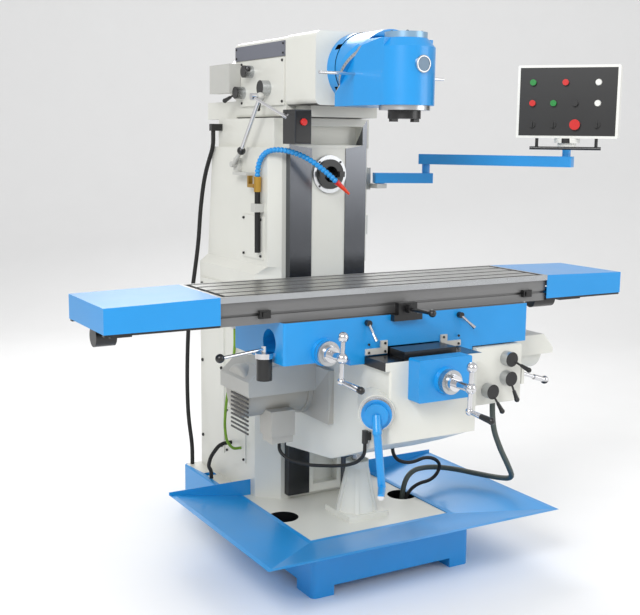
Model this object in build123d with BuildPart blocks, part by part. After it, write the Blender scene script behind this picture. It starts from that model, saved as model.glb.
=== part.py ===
from build123d import *
import os
from math import cos, pi, radians, sin, tan

os.makedirs("parts", exist_ok=True)

# Knee-type milling machine with a swivelling vertical head on a ram and a second, horizontal
# spindle in the column.  Millimetres.  +X is the operator's right, -Y the operator's side, +Z up.
# X = 0 is the machine's centre plane, Y = 0 the front of the column's guideways, Z = 0 the floor.

# ---------------------------------------------------------------- driving dimensions
GAP = 0.3                     # running clearance between pieces of different bodies

# base and chip tray
BASE_HALF_WIDTH = 389.0
BASE_FRONT = -574.0
BASE_REAR = 747.0
BASE_HEIGHT = 203.0
PAD_LENGTH = 130.0            # foot pads in the four corners
PAD_WIDTH = 100.0
PAD_RECESS = 42.0
FOUNDATION_X = 340.0          # half spacings of the four foundation bolt holes
FOUNDATION_Y = 530.0
FOUNDATION_HOLE = 22.0
TRAY_HALF_WIDTH = 700.0
TRAY_FRONT = -796.0
TRAY_REAR = 165.0
TRAY_RIM_HEIGHT = 262.0
TRAY_SEAT_HALF_WIDTH = 366.0
TRAY_SEAT_FRONT = -499.0
TRAY_SHEET = 4.0
TRAY_LIP = 22.0               # width of the tray that rests on the base
FLOOR_HOLE_X = 308.0
FLOOR_HOLE_Y = -170.0
FLOOR_HOLE_RADIUS = 66.0

# column
COLUMN_FACE = 38.0            # painted front face, behind the guideways
COLUMN_REAR = 725.0
LOWER_HALF_WIDTH = 300.0
LOWER_TOP = 1224.0
UPPER_HALF_WIDTH = 268.0
FLARE_TOP = 1262.0
UPPER_REAR_TOP = 640.0
UPPER_TOP = 1777.0
CAP_HALF_WIDTH = 240.0
COLUMN_TOP = 1905.0
WAY_OUTER = 192.0             # guideways: outer and inner edges, lower end
WAY_INNER = 85.0
WAY_BOTTOM = 226.0
FRONT_CORNER_LEFT = -212.0
FRONT_CORNER_RIGHT = 197.0
HORIZONTAL_SPINDLE_Z = 1666.0

# knee, with its elevating stand
KNEE_HALF_WIDTH = 206.0
KNEE_FRONT = -823.0
KNEE_TOP = 963.0
KNEE_WAY_HALF_WIDTH = 227.0
KNEE_WAY_INNER = 100.0
KNEE_WAY_TOP = 996.0
KNEE_RIDGE_TOP = 1024.0
KNEE_FRONT_BOTTOM = 682.0
KNEE_REAR_BOTTOM = 466.0
STAND_Y = -273.0
STAND_HALF_PLATE = 100.0
STAND_TOP = 445.0
SCREW_RADIUS = 24.0

# feed drives on the knee
GEARBOX_RIGHT = 540.0
GEARBOX_FRONT = -690.0
GEARBOX_BOTTOM = 741.0
GEARBOX_TOP = 984.0
CROSS_BOX_HALF_WIDTH = 123.0
CROSS_BOX_FRONT = -893.0
CROSS_AXIS_Z = 922.0
ELEVATING_ANGLE = 35.0        # the elevating shaft points this far to the left of the front
ELEVATING_X = -248.0
ELEVATING_Y = -801.0
ELEVATING_Z = 803.0

# saddle and table
SADDLE_HALF_WIDTH = 578.0
SADDLE_FRONT = -676.0
SADDLE_REAR = -256.0
SADDLE_BOTTOM = 990.0
SADDLE_TOP = 1150.0
X_CRANK_X = -407.0
X_CRANK_Z = 1029.0
TABLE_X = -64.0               # the table stands this far left of the middle of its travel
TABLE_LENGTH = 1517.0
TABLE_WIDTH = 389.0
TABLE_Y = -466.0
TABLE_TOP = 1259.0
TABLE_RIM = 22.0              # depth of the rim that stands out round the top
TABLE_INSET = 13.0
DOG_GROOVE_Z = 1187.0
T_SLOT_WIDTH = 18.0
T_SLOT_PITCH = 90.0
T_SLOT_COUNT = 3
COVER_LENGTH = 428.0
COVER_BOTTOM = 1159.0
COVER_OUTER_TOP = 1250.0

# ram and head
RAM_HALF_WIDTH = 200.0
RAM_FRONT = -226.0
RAM_STEP = 33.0
RAM_BLOCK_REAR = 530.0
RAM_REAR = 850.0
RAM_BOTTOM = 1954.0
RAM_TOP = 2250.0
DRUM_Z = 2100.0
DRUM_RADIUS = 147.0
DRUM_FLANGE = 62.0            # length of the graduated swivel flange
SWIVEL_Y = -360.0             # centre of the 45-degree swivel joint
SWIVEL_Z = 2095.0
SWIVEL_RADIUS = 158.0
SWIVEL_RING = 16.0
SPINDLE_Y = -575.0
HEAD_REAR = -236.0
HEAD_CORNER_CUT = 40.0
HEAD_RADIUS = 115.0
SIGHT_Z = 2100.0
BAR_Z = 2054.0
HEAD_BOTTOM = 1948.0
HEAD_SHOULDER = 2200.0
HEAD_CAP_RADIUS = 83.0
HEAD_CAP_TOP = 2223.0
NOSE_RING_RADIUS = 100.0
NOSE_RING_BOTTOM = 1930.0
NOSE_RADIUS = 64.285          # spindle nose to the ISO 50 taper standard, 128.57 across
NOSE_BOTTOM = 1898.0
TAPER_MOUTH_RADIUS = 34.925
TAPER_SMALL_RADIUS = 20.1
TAPER_LENGTH = 101.6

# control pendant
PENDANT_BASE = (312.0, 70.0, 1640.0)
PENDANT_ELBOW = (519.0, 0.0)
PENDANT_POST = (870.0, -550.0)
LOWER_ARM_Z = 1645.0
UPPER_ARM_Z = 1732.0
ARM_HEIGHT = 46.0
ARM_WIDTH = 58.0
PENDANT_TURN = 50.0           # the panel faces this far to the left of the front
PENDANT_WIDTH = 430.0
PENDANT_HEIGHT = 308.0
PENDANT_DEPTH = 84.0
PENDANT_BOTTOM = 1832.0
PENDANT_COLUMNS = (-147.0, -58.0, 32.0, 126.0)
PENDANT_ROWS = (81.0, -6.0, -96.0)
BUTTON_RADIUS = 13.0


# ---------------------------------------------------------------- shared shapes
def write(piece, name):
    """Label a finished piece and write it under its node's name."""
    piece.part.label = name
    export_step(piece.part, f"parts/{name}.step")


def block(x0, x1, y0, y1, z0, z1, mode=Mode.ADD):
    """A box between two opposite corners, given in either order, added to the open part."""
    with Locations(((x0 + x1) / 2, (y0 + y1) / 2, (z0 + z1) / 2)):
        Box(abs(x1 - x0), abs(y1 - y0), abs(z1 - z0), mode=mode)


def rod(start, end, radius, end_radius=None, mode=Mode.ADD):
    """A round bar or cone from one point to another, added to the open part."""
    start, end = Vector(*start), Vector(*end)
    length = (end - start).length
    plane = Plane(origin=start, z_dir=end - start)
    with Locations(plane.location):
        if end_radius is None:
            Cylinder(radius, length, align=(Align.CENTER, Align.CENTER, Align.MIN), mode=mode)
        else:
            Cone(radius, end_radius, length, align=(Align.CENTER, Align.CENTER, Align.MIN), mode=mode)


def ball(centre, radius, axis=(0, 0, 1)):
    """A ball, its poles set along the bar that meets it."""
    with Locations(Plane(origin=centre, z_dir=axis).location):
        Sphere(radius)


def along(point, direction, distance):
    return tuple(p + d * distance for p, d in zip(point, direction))


def corner_radii(points):
    """For each corner of a route, the largest arc its two runs allow."""
    radii = []
    for before, corner, after in zip(points, points[1:], points[2:]):
        first = Vector(*corner) - Vector(*before)
        second = Vector(*after) - Vector(*corner)
        half_turn = radians(first.get_angle(second)) / 2
        radii.append(0.45 * min(first.length, second.length) / tan(half_turn))
    return radii


def tube(name, points, radius):
    """A cord's solid: straight runs joined by tangent arcs."""
    radii = corner_radii(points)
    with BuildPart() as cord:
        with BuildLine() as route:
            FilletPolyline(*points, radius=radii)
        with BuildSketch(route.line ^ 0):
            Circle(radius)
        sweep()
    length = sum(edge.length for edge in route.edges())
    print(name, "length", round(length), "radii", [round(r) for r in radii],
          "volume ratio", round(cord.part.volume / (pi * radius ** 2 * length), 4))
    write(cord, name)
    return length


# ---------------------------------------------------------------- base
with BuildPart() as base:
    block(-BASE_HALF_WIDTH, BASE_HALF_WIDTH, BASE_FRONT, BASE_REAR, 0, BASE_HEIGHT)
    fillet(base.edges().filter_by(Axis.Z), 22)
    fillet(base.faces().sort_by(Axis.Z)[-1].edges(), 7)
    block(-BASE_HALF_WIDTH + PAD_WIDTH, BASE_HALF_WIDTH - PAD_WIDTH, BASE_FRONT - 1, BASE_REAR + 1,
          -1, PAD_RECESS, mode=Mode.SUBTRACT)
    block(-BASE_HALF_WIDTH - 1, BASE_HALF_WIDTH + 1, BASE_FRONT + PAD_LENGTH, FOUNDATION_Y - PAD_LENGTH / 2,
          -1, PAD_RECESS, mode=Mode.SUBTRACT)
    for side in (-1, 1):
        rod((side * FLOOR_HOLE_X, FLOOR_HOLE_Y, PAD_RECESS - 1),
            (side * FLOOR_HOLE_X, FLOOR_HOLE_Y, BASE_HEIGHT + 1), FLOOR_HOLE_RADIUS, mode=Mode.SUBTRACT)
        for y in (-FOUNDATION_Y, FOUNDATION_Y):
            rod((side * FOUNDATION_X, y, -1), (side * FOUNDATION_X, y, PAD_RECESS + 31),
                FOUNDATION_HOLE / 2, mode=Mode.SUBTRACT)
            block(side * FOUNDATION_X - 24, side * FOUNDATION_X + 24, y - 24, y + 24,
                  PAD_RECESS + 30, BASE_HEIGHT + 1, mode=Mode.SUBTRACT)
    rod((0, STAND_Y, PAD_RECESS - 1), (0, STAND_Y, BASE_HEIGHT + 1), SCREW_RADIUS + 6, mode=Mode.SUBTRACT)
write(base, "base_casting")


# ---------------------------------------------------------------- chip tray: a dish open over the base
def dish(height_shift):
    """The tray's funnel shape, wide at the rim and narrow where it sits on the base."""
    with BuildPart() as funnel:
        for half, front, height in ((TRAY_SEAT_HALF_WIDTH, TRAY_SEAT_FRONT, BASE_HEIGHT),
                                    (TRAY_HALF_WIDTH, TRAY_FRONT, TRAY_RIM_HEIGHT)):
            with BuildSketch(Plane.XY.offset(height + height_shift)):
                Polygon((-half, front), (half, front), (half, TRAY_REAR), (-half, TRAY_REAR), align=None)
        loft(ruled=True)
    return funnel.part


tray_outside = dish(GAP)
tray_inside = dish(GAP + TRAY_SHEET)
with BuildPart() as tray:
    add(tray_outside)
    add(tray_inside, mode=Mode.SUBTRACT)
    block(-TRAY_HALF_WIDTH - 1, TRAY_HALF_WIDTH + 1, TRAY_FRONT - 1, TRAY_REAR + 1,
          TRAY_RIM_HEIGHT, TRAY_RIM_HEIGHT + 20, mode=Mode.SUBTRACT)
    block(-TRAY_SEAT_HALF_WIDTH + TRAY_LIP, TRAY_SEAT_HALF_WIDTH - TRAY_LIP, TRAY_SEAT_FRONT + TRAY_LIP,
          TRAY_REAR + 1, BASE_HEIGHT, TRAY_RIM_HEIGHT, mode=Mode.SUBTRACT)
    for side in (-1, 1):
        with BuildSketch(Plane.XZ.offset(-TRAY_REAR)):
            Polygon((side * (LOWER_HALF_WIDTH + 3), BASE_HEIGHT + GAP), (side * TRAY_SEAT_HALF_WIDTH, BASE_HEIGHT + GAP),
                    (side * TRAY_HALF_WIDTH, TRAY_RIM_HEIGHT), (side * TRAY_HALF_WIDTH, TRAY_RIM_HEIGHT + 14),
                    (side * (LOWER_HALF_WIDTH + 3), TRAY_RIM_HEIGHT + 14), align=None)
        extrude(amount=TRAY_SHEET)
write(tray, "chip_tray")


# ---------------------------------------------------------------- column
def column_outline(half_width, corner, rear):
    """Plan of the column: flat front between two bevelled corners, square at the back."""
    Polygon((FRONT_CORNER_LEFT, COLUMN_FACE), (FRONT_CORNER_RIGHT, COLUMN_FACE), (half_width, corner * 1.7),
            (half_width, rear), (-half_width, rear), (-half_width, corner), align=None)


LOWER_CORNER = 123.0
UPPER_CORNER = 66.0
with BuildPart() as column:
    with BuildSketch(Plane.XY.offset(BASE_HEIGHT)):
        column_outline(LOWER_HALF_WIDTH, LOWER_CORNER, COLUMN_REAR)
    extrude(amount=LOWER_TOP - BASE_HEIGHT)
    for z, half, rear in ((LOWER_TOP, LOWER_HALF_WIDTH, COLUMN_REAR), (FLARE_TOP, UPPER_HALF_WIDTH, COLUMN_REAR - 25)):
        with BuildSketch(Plane.XY.offset(z)):
            column_outline(half, LOWER_CORNER if half == LOWER_HALF_WIDTH else UPPER_CORNER, rear)
    loft(ruled=True)
    for z, rear in ((FLARE_TOP, COLUMN_REAR - 25), (UPPER_TOP, UPPER_REAR_TOP)):
        with BuildSketch(Plane.XY.offset(z)):
            column_outline(UPPER_HALF_WIDTH, UPPER_CORNER, rear)
    loft(ruled=True)
    block(-CAP_HALF_WIDTH, CAP_HALF_WIDTH, COLUMN_FACE + 20, UPPER_REAR_TOP - 10, UPPER_TOP, COLUMN_TOP)
    block(-WAY_OUTER - 5, WAY_OUTER + 2, GAP, COLUMN_FACE + 30, UPPER_TOP, COLUMN_TOP)
    block(-WAY_OUTER + 6, WAY_OUTER - 20, -1, COLUMN_FACE + 22, UPPER_TOP + 14, COLUMN_TOP - 33, mode=Mode.SUBTRACT)
    # guideways with the painted strip between them
    for side in (-1, 1):
        block(side * WAY_OUTER, side * WAY_INNER,
              0, COLUMN_FACE + 1, WAY_BOTTOM, UPPER_TOP)
    block(-WAY_INNER - 1, WAY_INNER + 1, 4, COLUMN_FACE + 1, WAY_BOTTOM, UPPER_TOP)
    block(-62, 62, -1, 46, 262, 470, mode=Mode.SUBTRACT)
    # bore for the horizontal spindle's bearing sleeve
    rod((0, -1, HORIZONTAL_SPINDLE_Z), (0, 330, HORIZONTAL_SPINDLE_Z), 70, mode=Mode.SUBTRACT)
    # hollow rear cabinet
    block(-250, 250, 380, 700, BASE_HEIGHT + 40, 1180, mode=Mode.SUBTRACT)
write(column, "column_casting")

with BuildPart() as fittings:
    # lower cover plate on the left, switch-cabinet door behind it and the upper door
    block(-LOWER_HALF_WIDTH - 5, -LOWER_HALF_WIDTH, 212, 420, 338, 560)
    block(-LOWER_HALF_WIDTH - 8, -LOWER_HALF_WIDTH, 440, 700, 330, 1150)
    block(LOWER_HALF_WIDTH, LOWER_HALF_WIDTH + 8, 250, 700, 330, 1150)
    block(-200, 200, COLUMN_REAR, COLUMN_REAR + 10, 300, 1150)
    block(-UPPER_HALF_WIDTH - 6, -UPPER_HALF_WIDTH, 100, 300, 1290, 1480)
    # ledge bracket that carries the coolant valve
    block(-310, -UPPER_HALF_WIDTH, 190, 330, 1655, 1668)
    # clamp block round the coolant pipe
    block(-312, -UPPER_HALF_WIDTH, 96, 140, 1500, 1536)
    rod((-290, 118, 1499), (-290, 118, 1537), 13, mode=Mode.SUBTRACT)
    # foot of the switch arm
    block(-285, -UPPER_HALF_WIDTH, 320, 372, 1672, 1730)
    # upper fitting of the earth lead's sleeve
    block(-334, -LOWER_HALF_WIDTH, 276, 304, 960, 990)
    # clip that holds the conduit under the ram
    block(-296, -CAP_HALF_WIDTH, 586, 614, 1850, 1882)
    # pivot bracket of the pendant arm, on the right side of the column
    block(UPPER_HALF_WIDTH, 292, 118, 190, 1590, 1690)
    block(284, 336, 48, 150, 1598, 1618.7)
    block(UPPER_HALF_WIDTH, 300, 150, 210, 1380, 1470)
    # front ring of the horizontal spindle's bearing
    rod((0, 4, HORIZONTAL_SPINDLE_Z), (0, -10, HORIZONTAL_SPINDLE_Z), 82)
    rod((0, 6, HORIZONTAL_SPINDLE_Z), (0, -11, HORIZONTAL_SPINDLE_Z), NOSE_RADIUS + GAP, mode=Mode.SUBTRACT)
write(fittings, "column_fittings")

# ---------------------------------------------------------------- elevating stand
with BuildPart() as stand:
    block(-STAND_HALF_PLATE, STAND_HALF_PLATE, STAND_Y - STAND_HALF_PLATE, STAND_Y + STAND_HALF_PLATE,
          BASE_HEIGHT, BASE_HEIGHT + 24)
    rod((0, STAND_Y, BASE_HEIGHT + 24), (0, STAND_Y, STAND_TOP - 30), 90, 50)
    rod((0, STAND_Y, STAND_TOP - 30), (0, STAND_Y, STAND_TOP), 50)
    for turn in range(0, 360, 60):
        with BuildSketch(Plane(origin=(0, STAND_Y, BASE_HEIGHT + 24), x_dir=(cos(radians(turn)), sin(radians(turn)), 0),
                               z_dir=(sin(radians(turn)), -cos(radians(turn)), 0)).offset(-9)):
            Polygon((40, 0), (97, 0), (52, 180), (40, 180), align=None)
        extrude(amount=18)
    rod((0, STAND_Y, BASE_HEIGHT - 1), (0, STAND_Y, STAND_TOP + 1), SCREW_RADIUS + GAP, mode=Mode.SUBTRACT)
write(stand, "elevating_stand")

# ---------------------------------------------------------------- knee
ELEVATING_OUT = (-sin(radians(ELEVATING_ANGLE)), -cos(radians(ELEVATING_ANGLE)), 0.0)
ELEVATING_SEAT = (ELEVATING_X, ELEVATING_Y, ELEVATING_Z)
GIB = 20.0
with BuildPart() as knee:
    with BuildSketch(Plane.YZ.offset(-KNEE_HALF_WIDTH)):
        Polygon((-GAP, KNEE_REAR_BOTTOM), (-400, KNEE_REAR_BOTTOM + 46), (-600, 590), (-780, KNEE_FRONT_BOTTOM - 14),
                (KNEE_FRONT, KNEE_FRONT_BOTTOM), (KNEE_FRONT, KNEE_TOP), (-GAP, KNEE_TOP), align=None)
    extrude(amount=2 * KNEE_HALF_WIDTH)
    fillet(knee.edges().filter_by(Axis.Z).group_by(Axis.Y)[0], 9)
    # guide rails that carry the saddle, and the ridge between them
    for side in (-1, 1):
        block(side * KNEE_WAY_HALF_WIDTH, side * KNEE_WAY_INNER,
              KNEE_FRONT, -GAP, KNEE_TOP, KNEE_WAY_TOP)
    block(-KNEE_WAY_INNER - 20, KNEE_WAY_INNER + 20, KNEE_FRONT + 30, -GAP, KNEE_TOP - 10, KNEE_WAY_TOP)
    # jaws that reach round the column's guideways
    for side in (-1, 1):
        block(side * (WAY_OUTER + GAP), side * KNEE_HALF_WIDTH,
              -1, GIB, 500, 940)
    # housing of the elevating shaft, on the left front corner
    rod(along(ELEVATING_SEAT, ELEVATING_OUT, -190), ELEVATING_SEAT, 84, 70)
    # gland of the cable that leaves the knee's underside
    rod((190, -262, 505), (190, -262, 478), 14)
    # elevating screw, which reaches down through the stand
    rod((0, STAND_Y, PAD_RECESS + 8), (0, STAND_Y, KNEE_REAR_BOTTOM + 60), SCREW_RADIUS)
write(knee, "knee_casting")

with BuildPart() as way_covers:
    block(-KNEE_WAY_INNER - 22, KNEE_WAY_INNER + 22, KNEE_FRONT + 30, SADDLE_FRONT - 14, KNEE_WAY_TOP, KNEE_RIDGE_TOP)
write(way_covers, "knee_way_covers")

RAPID_MOTOR_Y = -465.0
RAPID_MOTOR_Z = 895.0
with BuildPart() as gearbox:
    block(KNEE_HALF_WIDTH, GEARBOX_RIGHT, GEARBOX_FRONT, -300, GEARBOX_BOTTOM, GEARBOX_TOP)
    fillet(gearbox.edges().filter_by(Axis.Y), 8)
    # front panel with its dial bosses
    block(KNEE_HALF_WIDTH + 4, GEARBOX_RIGHT - 3, GEARBOX_FRONT - 7, GEARBOX_FRONT, GEARBOX_BOTTOM + 3, GEARBOX_TOP - 3)
    block(GEARBOX_RIGHT, GEARBOX_RIGHT + 14, -700, -620, 810, 890)
    # step that clears the saddle's keeper strip
    block(KNEE_HALF_WIDTH - 1, 300, GEARBOX_FRONT - 8, -299, KNEE_TOP - 4, GEARBOX_TOP + 1, mode=Mode.SUBTRACT)

    # rapid feed motor on its right end, under a sloping hood
    rod((GEARBOX_RIGHT, RAPID_MOTOR_Y, RAPID_MOTOR_Z), (GEARBOX_RIGHT + 18, RAPID_MOTOR_Y, RAPID_MOTOR_Z), 86)
    rod((GEARBOX_RIGHT + 18, RAPID_MOTOR_Y, RAPID_MOTOR_Z), (795, RAPID_MOTOR_Y, RAPID_MOTOR_Z), 76)
    fillet(gearbox.faces().sort_by(Axis.X)[-1].edges(), 20)
    with BuildSketch(Plane.XZ.offset(-(RAPID_MOTOR_Y + 105))):
        Polygon((GEARBOX_RIGHT + 26, 896), (GEARBOX_RIGHT + 26, 984), (770, 984), (826, 920), (826, 896), align=None)
    extrude(amount=210)
write(gearbox, "feed_gearbox")

MOTOR_Y = -165.0
MOTOR_Z = 785.0
MOTOR_RADIUS = 112.0
MOTOR_END = -528.0
FLANGE_PLATE = 24.0
HOOD_TOP = 902.0
with BuildPart() as knee_motor:
    block(-KNEE_HALF_WIDTH - FLANGE_PLATE, -KNEE_HALF_WIDTH, -412, -32, 662, 888)
    motor_face = -KNEE_HALF_WIDTH - FLANGE_PLATE
    rod((motor_face, MOTOR_Y, MOTOR_Z), (motor_face - 22, MOTOR_Y, MOTOR_Z), MOTOR_RADIUS + 10)
    rod((motor_face - 22, MOTOR_Y, MOTOR_Z), (MOTOR_END, MOTOR_Y, MOTOR_Z), MOTOR_RADIUS)
    fillet(knee_motor.faces().sort_by(Axis.X)[0].edges(), 16)
    # terminal box below the motor's front side
    block(-437, -327, -306, -200, 606, 714)
    block(-430, -334, -300, -212, 577, 606)
    # sheet hood over its upper half
    with BuildSketch(Plane.XZ.offset(302)):
        Polygon((MOTOR_END - 10, MOTOR_Z), (motor_face, MOTOR_Z), (motor_face, HOOD_TOP), (-476, HOOD_TOP),
                (MOTOR_END - 10, HOOD_TOP - 56), align=None)
    extrude(amount=-272)
    # gland of the motor's cable, clamped to the knee's side
    rod((-228, -690, 655), (-228, -690, 706), 12)
    block(-230, -KNEE_HALF_WIDTH, -702, -678, 668, 698)
write(knee_motor, "knee_motor")

with BuildPart() as cross_box:
    block(-CROSS_BOX_HALF_WIDTH, CROSS_BOX_HALF_WIDTH, CROSS_BOX_FRONT, KNEE_FRONT, 844, 1008)
    fillet(cross_box.edges().filter_by(Axis.Y), 7)
    rod((0, CROSS_BOX_FRONT, CROSS_AXIS_Z), (0, CROSS_BOX_FRONT - 16, CROSS_AXIS_Z), 54, 50)
    rod((0, CROSS_BOX_FRONT - 17, CROSS_AXIS_Z), (0, CROSS_BOX_FRONT + 50, CROSS_AXIS_Z), 12 + GAP, mode=Mode.SUBTRACT)
write(cross_box, "cross_feed_box")


# ---------------------------------------------------------------- saddle
PUMP_Y = -590.0
with BuildPart() as saddle:
    block(-SADDLE_HALF_WIDTH, SADDLE_HALF_WIDTH, SADDLE_FRONT, SADDLE_REAR, SADDLE_BOTTOM, SADDLE_TOP - GAP)
    fillet(saddle.edges().filter_by(Axis.Z), 10)
    # channel over the knee's guide rails, with keeper strips that hook under them
    block(-KNEE_WAY_HALF_WIDTH - GAP, KNEE_WAY_HALF_WIDTH + GAP, SADDLE_FRONT - 1, SADDLE_REAR + 1,
          SADDLE_BOTTOM - 1, KNEE_WAY_TOP + GAP, mode=Mode.SUBTRACT)
    for side in (-1, 1):
        block(side * (KNEE_WAY_HALF_WIDTH + GAP), side * 292,
              SADDLE_FRONT, SADDLE_REAR, 966, SADDLE_BOTTOM)
    # slots at the front for the ridge cover
    block(-KNEE_WAY_INNER - 25, KNEE_WAY_INNER + 25, SADDLE_FRONT - 1, SADDLE_REAR + 1,
          SADDLE_BOTTOM, KNEE_RIDGE_TOP + 3, mode=Mode.SUBTRACT)
    # arched pocket in the left end
    rod((-SADDLE_HALF_WIDTH - 1, PUMP_Y + 30, 1060), (-SADDLE_HALF_WIDTH + 60, PUMP_Y + 30, 1060), 52, mode=Mode.SUBTRACT)
    # boss of the table feed shaft
    rod((X_CRANK_X, SADDLE_FRONT + 2, X_CRANK_Z), (X_CRANK_X, SADDLE_FRONT - 12, X_CRANK_Z), 54, 51)
    rod((X_CRANK_X, SADDLE_FRONT - 15, X_CRANK_Z), (X_CRANK_X, SADDLE_FRONT + 45, X_CRANK_Z), 12 + GAP, mode=Mode.SUBTRACT)
write(saddle, "saddle_casting")

FEED_LEVER_X = -45.0
with BuildPart() as saddle_fittings:
    # felt wiper plates over both guide rails: an upright leg inside, a flat leg outside
    for side in (-1, 1):
        block(side * 226, side * 128, SADDLE_FRONT - 9, SADDLE_FRONT, 1001, 1024)
        block(side * 158, side * 128, SADDLE_FRONT - 9, SADDLE_FRONT, 1024, 1052)
    # block of the table feed lever
    block(FEED_LEVER_X - 66, FEED_LEVER_X + 66, SADDLE_FRONT - 26, SADDLE_FRONT, 1126, 1150)
    block(FEED_LEVER_X - 46, FEED_LEVER_X + 40, SADDLE_FRONT - 26, SADDLE_FRONT, 1150, 1196)
    # hand pump for the slideways, hung on the left end
    rod((-614, PUMP_Y, 926), (-614, PUMP_Y, 1010), 30)
    rod((-614, PUMP_Y, 1010), (-614, PUMP_Y, 1030), 34)
    block(-618, -SADDLE_HALF_WIDTH, PUMP_Y - 14, PUMP_Y + 14, 1012, 1028)
write(saddle_fittings, "saddle_fittings")

# ---------------------------------------------------------------- table
TABLE_LEFT = TABLE_X - TABLE_LENGTH / 2
TABLE_RIGHT = TABLE_X + TABLE_LENGTH / 2
TABLE_FRONT = TABLE_Y - TABLE_WIDTH / 2
TABLE_REAR = TABLE_Y + TABLE_WIDTH / 2
with BuildPart() as table:
    block(TABLE_LEFT, TABLE_RIGHT, TABLE_FRONT, TABLE_REAR, TABLE_TOP - TABLE_RIM, TABLE_TOP)
    block(TABLE_LEFT, TABLE_RIGHT, TABLE_FRONT + TABLE_INSET, TABLE_REAR - TABLE_INSET, SADDLE_TOP, TABLE_TOP - TABLE_RIM)
    # coolant gutters round the edge
    for y in (TABLE_FRONT + 24, TABLE_REAR - 24):
        block(TABLE_LEFT + 14, TABLE_RIGHT - 14, y - 10, y + 10, TABLE_TOP - 9, TABLE_TOP + 1, mode=Mode.SUBTRACT)
    for x in (TABLE_LEFT + 24, TABLE_RIGHT - 24):
        block(x - 10, x + 10, TABLE_FRONT + 14, TABLE_REAR - 14, TABLE_TOP - 9, TABLE_TOP + 1, mode=Mode.SUBTRACT)
    # T-slots
    for index in range(T_SLOT_COUNT):
        y = TABLE_Y + (index - (T_SLOT_COUNT - 1) / 2) * T_SLOT_PITCH
        block(TABLE_LEFT + 34, TABLE_RIGHT - 34, y - T_SLOT_WIDTH / 2, y + T_SLOT_WIDTH / 2,
              TABLE_TOP - 30, TABLE_TOP + 1, mode=Mode.SUBTRACT)
        block(TABLE_LEFT + 34, TABLE_RIGHT - 34, y - 15, y + 15, TABLE_TOP - 30, TABLE_TOP - 16, mode=Mode.SUBTRACT)
    # groove for the trip dogs along the front
    block(TABLE_LEFT - 1, TABLE_RIGHT + 1, TABLE_FRONT + TABLE_INSET - 1, TABLE_FRONT + TABLE_INSET + 10,
          DOG_GROOVE_Z - 5, DOG_GROOVE_Z + 5, mode=Mode.SUBTRACT)
write(table, "table_slab")

COVER_SHEET = 3.0
with BuildPart() as covers:
    for side, inner in ((-1, TABLE_LEFT), (1, TABLE_RIGHT)):
        outer = inner + side * COVER_LENGTH
        with BuildSketch(Plane.XZ.offset(-TABLE_REAR)):
            Polygon((inner, COVER_BOTTOM), (outer, COVER_BOTTOM), (outer, COVER_OUTER_TOP), (inner, TABLE_TOP), align=None)
        extrude(amount=TABLE_WIDTH)
    for side, inner in ((-1, TABLE_LEFT), (1, TABLE_RIGHT)):
        outer = inner + side * COVER_LENGTH
        with BuildSketch(Plane.XZ.offset(-TABLE_REAR + COVER_SHEET)):
            Polygon((inner - side, COVER_BOTTOM - 1), (outer - side * COVER_SHEET, COVER_BOTTOM - 1),
                    (outer - side * COVER_SHEET, COVER_OUTER_TOP - COVER_SHEET), (inner - side, TABLE_TOP - COVER_SHEET),
                    align=None)
        extrude(amount=TABLE_WIDTH - 2 * COVER_SHEET, mode=Mode.SUBTRACT)
write(covers, "table_covers")

with BuildPart() as end_parts:
    for side, inner in ((-1, TABLE_LEFT), (1, TABLE_RIGHT)):
        outer = inner + side * (COVER_LENGTH - COVER_SHEET)
        # frame rails under each cover
        for y in (TABLE_FRONT + COVER_SHEET, TABLE_REAR - COVER_SHEET - 22):
            block(inner, outer, y, y + 22, SADDLE_TOP + 1, COVER_BOTTOM + 8)
        block(inner, inner + side * 22, TABLE_FRONT + COVER_SHEET,
              TABLE_REAR - COVER_SHEET, SADDLE_TOP + 1, COVER_BOTTOM + 8)
    # left: casing of the table screw's drive, right: bearing bracket of the screw
    rod((-1226, TABLE_Y, 1122), (-1150, TABLE_Y, 1122), 38)
    block(-1226, -1150, TABLE_Y - 30, TABLE_Y + 30, 1122, 1170)
    block(-1226, -1150, TABLE_FRONT + 4, TABLE_REAR - 4, 1146, 1166)
    rod((772, TABLE_Y, 1122), (890, TABLE_Y, 1122), 34)
    block(772, 890, TABLE_Y - 30, TABLE_Y + 30, 1122, 1170)
    block(772, 890, TABLE_FRONT + 4, TABLE_REAR - 4, 1146, 1166)
    # trip dogs bolted into the front groove
    for x in (-647, 586):
        block(x - 22, x + 22, TABLE_FRONT - 4, TABLE_FRONT + TABLE_INSET, DOG_GROOVE_Z - 15, DOG_GROOVE_Z + 15)
        block(x - 12, x + 12, TABLE_FRONT - 9, TABLE_FRONT - 4, DOG_GROOVE_Z - 9, DOG_GROOVE_Z + 9)
write(end_parts, "table_end_parts")


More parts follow.
